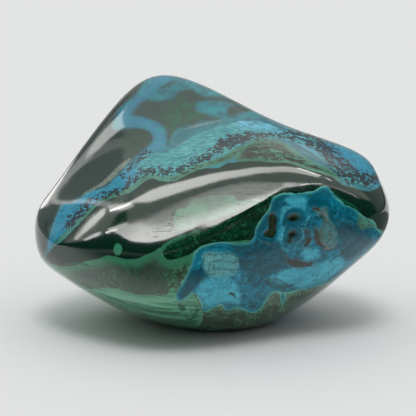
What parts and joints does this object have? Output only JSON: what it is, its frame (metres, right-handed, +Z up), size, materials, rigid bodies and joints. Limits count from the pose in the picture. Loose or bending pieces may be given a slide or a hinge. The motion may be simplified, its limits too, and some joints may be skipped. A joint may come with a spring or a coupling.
{
  "type": "polished chrysocolla freeform",
  "caption": "Polished freeform stone of blue-green chrysocolla with banded malachite, a peaked back and a rounded crest along the front, resting on a small worn flat.",
  "frame": {"origin": "on the ground under the middle of the stone's box", "axes": "+X along the stone to the viewer's right, +Y to its back, +Z up from the resting flat"},
  "size_m": [0.0622, 0.0402, 0.042],
  "materials": {
    "polished_stone": "hand polished, glossy"
  },
  "bodies": {
    "root": {"polished_stone": "polished_stone"}
  },
  "joints": []
}
